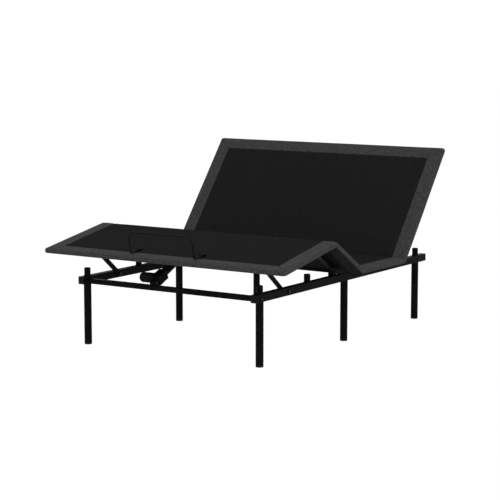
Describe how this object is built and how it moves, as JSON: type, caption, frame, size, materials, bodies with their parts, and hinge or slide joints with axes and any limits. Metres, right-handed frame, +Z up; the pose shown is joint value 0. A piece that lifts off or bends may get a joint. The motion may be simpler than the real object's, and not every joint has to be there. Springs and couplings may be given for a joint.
{
  "type": "adjustable bed base",
  "caption": "Powered queen-size bed base with a tilting head section, folding leg section, upholstered deck, tubular legs and a mattress retainer bar.",
  "frame": {"origin": "floor level, under the middle of the stored shape's bounding box", "axes": "+X across the bed to the right seen from the foot, +Y from the foot to the head, +Z up"},
  "size_m": [1.511, 1.837, 1.0014],
  "materials": {
    "upholstery": "charcoal woven border around a black fine-weave centre",
    "deck_panel": "plywood panel under black dust cloth",
    "black_plastic": "moulded, matt",
    "electronics_housing": "moulded, fine texture",
    "gearbox_housing": "moulded, fine texture",
    "motor_can": "satin",
    "actuator_tube": "satin black",
    "rod_steel": "ground and plated",
    "fasteners": "black zinc",
    "retainer_steel": "satin black powder coat",
    "frame_steel": "satin black powder coat"
  },
  "bodies": {
    "base": {"side_rail_left": "frame_steel", "rest_posts_left": "frame_steel", "leg_foot_left": "frame_steel", "leg_mid_left": "frame_steel", "leg_head_left": "frame_steel", "side_rail_right": "frame_steel", "rest_posts_right": "frame_steel", "leg_foot_right": "frame_steel", "leg_mid_right": "frame_steel", "leg_head_right": "frame_steel", "rail_end_caps": "black_plastic", "post_caps": "black_plastic", "leg_glides": "black_plastic", "leg_nuts": "fasteners", "foot_crossbar": "frame_steel", "head_crossbar": "frame_steel", "frame_bolts": "fasteners", "seat_brackets": "frame_steel", "seat_side_tube_left": "frame_steel", "seat_side_tube_right": "frame_steel", "seat_cross_tube_front": "frame_steel", "seat_cross_tube_rear": "frame_steel", "deck_hinge_pins": "fasteners", "seat_board": "deck_panel", "seat_cover": "upholstery", "actuator_rear_pins": "fasteners", "control_box": "electronics_housing"},
    "strut_left": {"support_strut_left": "frame_steel"},
    "strut_right": {"support_strut_right": "frame_steel"},
    "head": {"head_side_tube_left": "frame_steel", "head_side_tube_right": "frame_steel", "head_lift_crossmember": "frame_steel", "head_cross_tube": "frame_steel", "head_lift_pin": "fasteners", "head_board": "deck_panel", "head_cover": "upholstery"},
    "thigh": {"thigh_side_tube_left": "frame_steel", "thigh_side_tube_right": "frame_steel", "thigh_lift_crossmember": "frame_steel", "thigh_lift_pin": "fasteners", "knee_hinge_pins": "fasteners", "thigh_board": "deck_panel", "thigh_cover": "upholstery"},
    "calf": {"calf_side_tube_left": "frame_steel", "calf_side_tube_right": "frame_steel", "calf_strut_crossmember": "frame_steel", "calf_board": "deck_panel", "calf_cover": "upholstery", "retainer_bar": "retainer_steel", "retainer_clips": "retainer_steel", "retainer_screws": "fasteners"},
    "foot_actuator": {"foot_actuator_gearbox": "gearbox_housing", "foot_actuator_tube": "actuator_tube", "foot_actuator_motor": "motor_can"},
    "foot_rod": {"foot_actuator_rod": "rod_steel"},
    "head_actuator": {"head_actuator_gearbox": "gearbox_housing", "head_actuator_tube": "actuator_tube", "head_actuator_motor": "motor_can"},
    "head_rod": {"head_actuator_rod": "rod_steel"}
  },
  "joints": [
    {"name": "head_lift", "type": "hinge", "parent": "base", "child": "head", "pos_m": [0, 0.30799, 0.415], "axis": [1, 0, 0], "range_deg": [-51.8, 3.2]},
    {"name": "leg_lift", "type": "hinge", "parent": "base", "child": "thigh", "pos_m": [0, -0.14901, 0.415], "axis": [-1, 0, 0], "range_deg": [-31.9, 3.1]},
    {"name": "knee_fold", "type": "hinge", "parent": "thigh", "child": "calf", "pos_m": [0, -0.42348, 0.57524], "axis": [1, 0, 0], "range_deg": [-42.12, 4.11]},
    {"name": "strut_left_swing", "type": "hinge", "parent": "base", "child": "strut_left", "pos_m": [-0.52, -0.56951, 0.348], "axis": [-1, 0, 0], "range_deg": [-27.79, 2.72]},
    {"name": "strut_right_swing", "type": "hinge", "parent": "base", "child": "strut_right", "pos_m": [0.52, -0.56951, 0.348], "axis": [-1, 0, 0], "range_deg": [-27.79, 2.72]},
    {"name": "foot_actuator_tilt", "type": "hinge", "parent": "base", "child": "foot_actuator", "pos_m": [-0.1, -0.82501, 0.37], "axis": [1, 0, 0], "range_deg": [-23.97, 2.35]},
    {"name": "foot_rod_pivot", "type": "hinge", "parent": "thigh", "child": "foot_rod", "pos_m": [-0.1, -0.4471, 0.54165], "axis": [1, 0, 0], "range_deg": [-55.87, 5.45]},
    {"name": "head_actuator_tilt", "type": "hinge", "parent": "base", "child": "head_actuator", "pos_m": [0.1, 0.82899, 0.37], "axis": [-1, 0, 0], "range_deg": [-18.55, 1.16]},
    {"name": "head_rod_pivot", "type": "hinge", "parent": "head", "child": "head_rod", "pos_m": [0.1, 0.44172, 0.48791], "axis": [-1, 0, 0], "range_deg": [-70.35, 4.36]}
  ],
  "couplings": [
    {"joint": "knee_fold", "follows": "leg_lift", "ratio": 1.3197},
    {"joint": "strut_left_swing", "follows": "leg_lift", "ratio": 0.87053},
    {"joint": "strut_right_swing", "follows": "leg_lift", "ratio": 0.87053},
    {"joint": "foot_actuator_tilt", "follows": "leg_lift", "ratio": 0.7509},
    {"joint": "foot_rod_pivot", "follows": "leg_lift", "ratio": 1.7509},
    {"joint": "head_actuator_tilt", "follows": "head_lift", "ratio": 0.3577},
    {"joint": "head_rod_pivot", "follows": "head_lift", "ratio": 1.3577}
  ]
}
